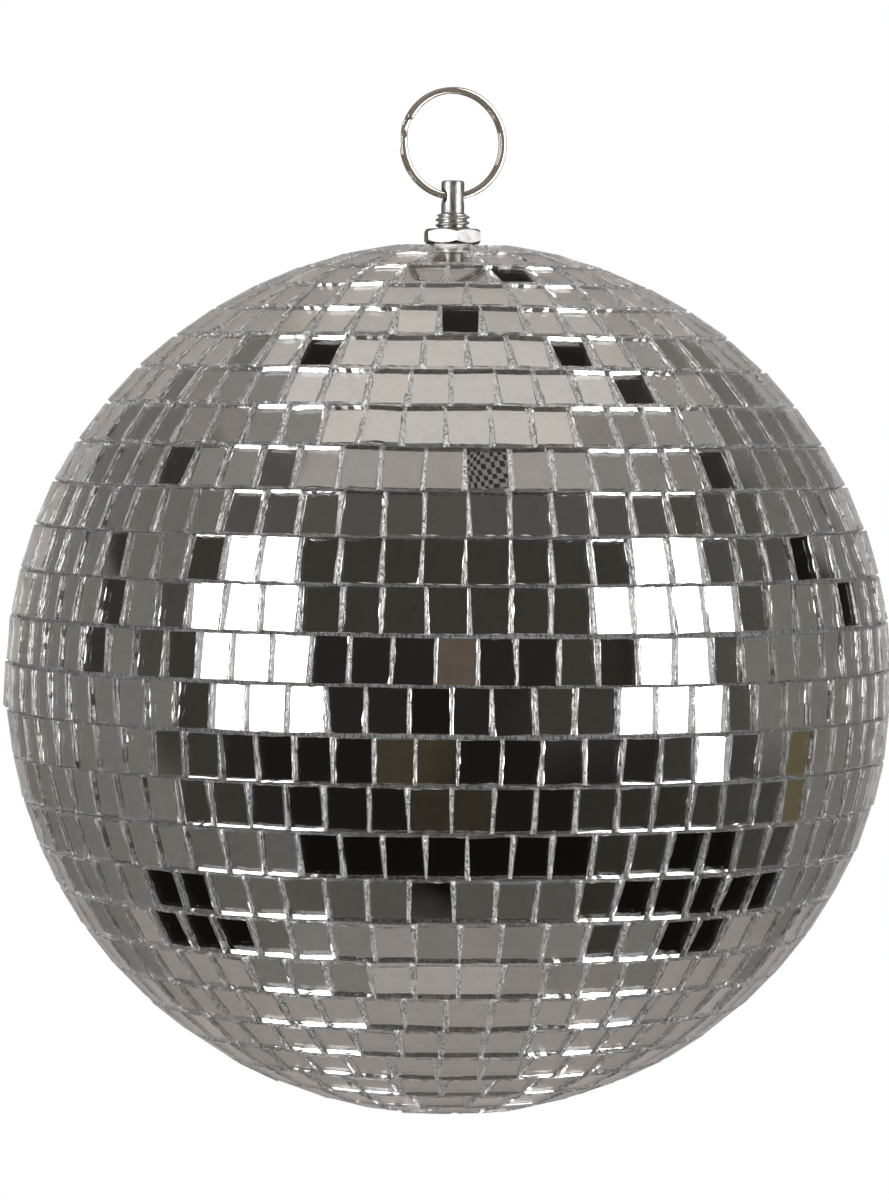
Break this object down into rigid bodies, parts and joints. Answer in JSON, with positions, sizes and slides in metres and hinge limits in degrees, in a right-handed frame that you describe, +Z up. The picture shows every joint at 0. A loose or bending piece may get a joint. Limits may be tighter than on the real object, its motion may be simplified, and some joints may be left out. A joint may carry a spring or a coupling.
{
  "type": "mirror ball",
  "caption": "Mirror-tiled hanging ball: hollow core covered in flat silvered glass tiles, with a threaded stem, lock nut and split ring at the top for hanging.",
  "frame": {"origin": "centre of the ball", "axes": "+Z up along the hanging stem, -Y to the front; the ring's plane is turned 20 degrees about Z from the XZ plane"},
  "size_m": [0.2002, 0.2003, 0.2323],
  "materials": {
    "mirror_tiles": "silvered glass, flat polished faces with cut edges",
    "adhesive": "pale silver-white adhesive bed",
    "core_plastic": "grey moulded plastic",
    "stem_steel": "zinc plated, turned",
    "nut_steel": "zinc plated",
    "washer_steel": "zinc plated",
    "ring_steel": "bright nickel plated spring wire"
  },
  "bodies": {
    "ball": {"core_upper": "core_plastic", "core_lower": "core_plastic", "adhesive_coat": "adhesive", "tile_row_01": "mirror_tiles", "tile_row_02": "mirror_tiles", "tile_row_03": "mirror_tiles", "tile_row_04": "mirror_tiles", "tile_row_05": "mirror_tiles", "tile_row_06": "mirror_tiles", "tile_row_07": "mirror_tiles", "tile_row_08": "mirror_tiles", "tile_row_09": "mirror_tiles", "tile_row_10": "mirror_tiles", "tile_row_11": "mirror_tiles", "tile_row_12": "mirror_tiles", "tile_row_13": "mirror_tiles", "tile_row_14": "mirror_tiles", "tile_row_15": "mirror_tiles", "tile_row_16": "mirror_tiles", "tile_row_17": "mirror_tiles", "tile_row_18": "mirror_tiles", "tile_row_19": "mirror_tiles", "tile_row_20": "mirror_tiles", "tile_row_21": "mirror_tiles", "tile_row_22": "mirror_tiles", "tile_row_23": "mirror_tiles", "tile_row_24": "mirror_tiles", "tile_row_25": "mirror_tiles", "tile_row_26": "mirror_tiles", "tile_row_27": "mirror_tiles", "bottom_tile": "mirror_tiles", "hanging_stem": "stem_steel", "inner_washer": "washer_steel", "inner_nut": "nut_steel"},
    "ring": {"split_ring": "ring_steel"},
    "washer": {"top_washer": "washer_steel"},
    "nut": {"lock_nut": "nut_steel"}
  },
  "joints": [
    {"name": "ring_swing", "type": "hinge", "parent": "ball", "child": "ring", "pos_m": [0, 0, 0.1091], "axis": [0.9397, 0.342, 0], "range_deg": [-115, 115]},
    {"name": "washer_lift", "type": "slide", "parent": "ball", "child": "washer", "axis": [0, 0, 1], "range_m": [0, 0.0025]},
    {"name": "nut_turn", "type": "hinge", "parent": "washer", "child": "nut", "pos_m": [0, 0, 0.0983], "axis": [0, 0, 1], "range_deg": [0, 720]}
  ],
  "couplings": [
    {"joint": "nut_turn", "follows": "washer_lift", "rad_per_m": 5026.5}
  ]
}
